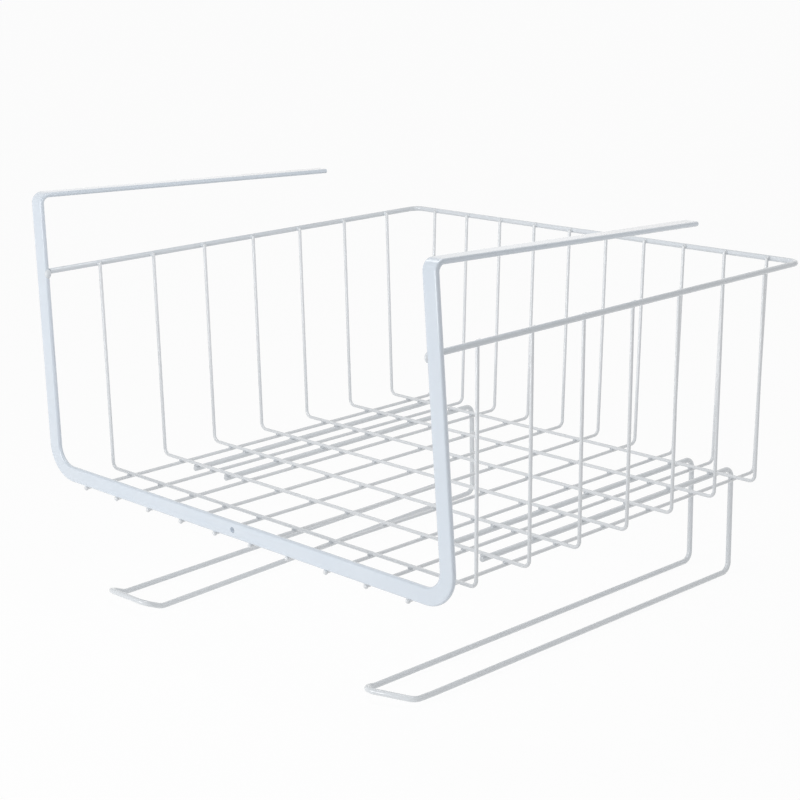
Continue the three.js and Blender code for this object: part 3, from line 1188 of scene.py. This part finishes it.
def pale_world(stage):
    """A plain pale backdrop that lights the object less than it shows, and least from above."""
    world = bpy.data.worlds.new("Pale backdrop")
    tree = empty_nodes(world)
    sky = {"Color": opaque(WHITE), "Strength": sky_strength(tree, stage)}
    backdrop = {"Color": opaque(stage.background), "Strength": 1.0}
    lit = add_node(tree, "ShaderNodeBackground", sky)["Background"]
    shown = add_node(tree, "ShaderNodeBackground", backdrop)["Background"]
    show(tree, seen_directly(tree), lit, shown, "ShaderNodeOutputWorld")
    return world


def pale_floor_material(stage):
    """A matt pale floor, shown as bright as the backdrop, that still takes the object's shadow."""
    material = bpy.data.materials.new("Pale floor")
    tree = empty_nodes(material)
    glow = {"Color": opaque(stage.background), "Strength": stage.floor_glow}
    lit = add_node(tree, "ShaderNodeBsdfDiffuse", {"Color": opaque(FLOOR_GREY)})["BSDF"]
    shown = add_node(tree, "ShaderNodeEmission", glow)["Emission"]
    bright = math_node(tree, "MULTIPLY", seen_directly(tree), 1 - stage.floor_diffuse)
    show(tree, bright, lit, shown, "ShaderNodeOutputMaterial")
    return material


def pale_floor(stage):
    """A wide flat floor just under the object."""
    z = CAD_BOX[0].z - FLOOR_GAP
    signs = ((-1, -1), (1, -1), (1, 1), (-1, 1))
    corners = [(x * FLOOR_HALF, y * FLOOR_HALF, z) for x, y in signs]
    mesh = bpy.data.meshes.new("pale_floor")
    mesh.from_pydata(corners, [], [(0, 1, 2, 3)])
    mesh.materials.append(pale_floor_material(stage))
    return bpy.data.objects.new("pale_floor", mesh)


def soft_light(name, place, size, power):
    """A square soft light that points at the basket's middle."""
    lamp = bpy.data.lights.new(name, "AREA")
    lamp.shape = "SQUARE"
    lamp.size = size
    lamp.energy = power
    obj = bpy.data.objects.new(name, lamp)
    obj.location = place
    obj.rotation_euler = (CAD_MIDDLE - place).to_track_quat("-Z", "Y").to_euler()
    return obj


class WIREBASKET_OT_stage(bpy.types.Operator):
    """Set up the floor, the backdrop, the lights and the camera."""

    bl_idname = "wirebasket.stage"
    bl_label = "Stage"

    def execute(self, context):
        scene, stage = context.scene, context.scene.wire_basket.stage
        scene.view_settings.view_transform = "Standard"
        scene.world = pale_world(stage)
        floor = pale_floor(stage)
        lights = (
            soft_light("front_light", stage.front_place, stage.front_size, stage.front_power),
            soft_light(
                "overhead_light", stage.overhead_place, stage.overhead_size, stage.overhead_power
            ),
        )
        camera = self.camera(stage)
        for obj in (floor, *lights, camera):
            scene.collection.objects.link(obj)
        scene.camera = camera
        return {"FINISHED"}

    @staticmethod
    def camera(stage):
        """A camera at the view that the basket is shown from."""
        data = bpy.data.cameras.new("camera")
        data.sensor_width = SENSOR_WIDTH
        data.lens = stage.camera_lens
        data.dof.use_dof = False
        data.clip_end = FARTHEST_SEEN
        obj = bpy.data.objects.new("camera", data)
        turn = Euler((math.pi / 2 - stage.camera_fall, 0.0, stage.camera_azimuth)).to_matrix()
        roll = Matrix.Rotation(stage.camera_roll, 3, "Z")
        obj.matrix_world = Matrix.Translation(stage.camera_place) @ (turn @ roll).to_4x4()
        return obj


class WIREBASKET_PT_sidebar(bpy.types.Panel):
    """The basket's pieces and their sizes."""

    bl_idname = "WIREBASKET_PT_sidebar"
    bl_label = "Wire basket"
    bl_space_type = "VIEW_3D"
    bl_region_type = "UI"
    bl_category = "Basket"

    def draw(self, context):
        basket = context.scene.wire_basket
        for operator in OPERATORS:
            self.layout.operator(operator.bl_idname)
        for group in self.groups(basket):
            box = self.layout.box()
            box.label(text=group.bl_rna.description)
            for name in self.own_properties(group):
                box.prop(group, name)

    @classmethod
    def groups(cls, basket):
        """The basket's property groups, in the order of their making."""
        return [getattr(basket, name) for name in cls.own_properties(basket)]

    @staticmethod
    def own_properties(group):
        """The names of a group's own properties."""
        return [name for name in group.bl_rna.properties.keys() if name not in {"rna_type", "name"}]


PROPERTY_GROUPS = (
    WIREBASKET_PG_wires,
    WIREBASKET_PG_bar,
    WIREBASKET_PG_loops,
    WIREBASKET_PG_left_loop,
    WIREBASKET_PG_right_loop,
    WIREBASKET_PG_welds,
    WIREBASKET_PG_coat,
    WIREBASKET_PG_stage,
    WIREBASKET_PG_basket,
)
OPERATORS = (
    WIREBASKET_OT_front_bar,
    WIREBASKET_OT_rim,
    WIREBASKET_OT_cross_wires,
    WIREBASKET_OT_floor_wires,
    WIREBASKET_OT_loops,
    WIREBASKET_OT_welds,
    WIREBASKET_OT_stage,
)
CLASSES = (*PROPERTY_GROUPS, *OPERATORS, WIREBASKET_PT_sidebar)


def register():
    """Makes the properties, operators and panel known to Blender."""
    for cls in CLASSES:
        bpy.utils.register_class(cls)
    bpy.types.Scene.wire_basket = bpy.props.PointerProperty(type=WIREBASKET_PG_basket)


def unregister():
    """Takes them out again."""
    del bpy.types.Scene.wire_basket
    for cls in reversed(CLASSES):
        bpy.utils.unregister_class(cls)


def main():
    """Builds every piece in order and sets up the stage."""
    register()
    bpy.ops.wirebasket.front_bar()
    bpy.ops.wirebasket.rim()
    bpy.ops.wirebasket.cross_wires()
    bpy.ops.wirebasket.floor_wires()
    bpy.ops.wirebasket.loops()
    bpy.ops.wirebasket.welds()
    bpy.ops.wirebasket.stage()


if __name__ == "__main__":
    main()
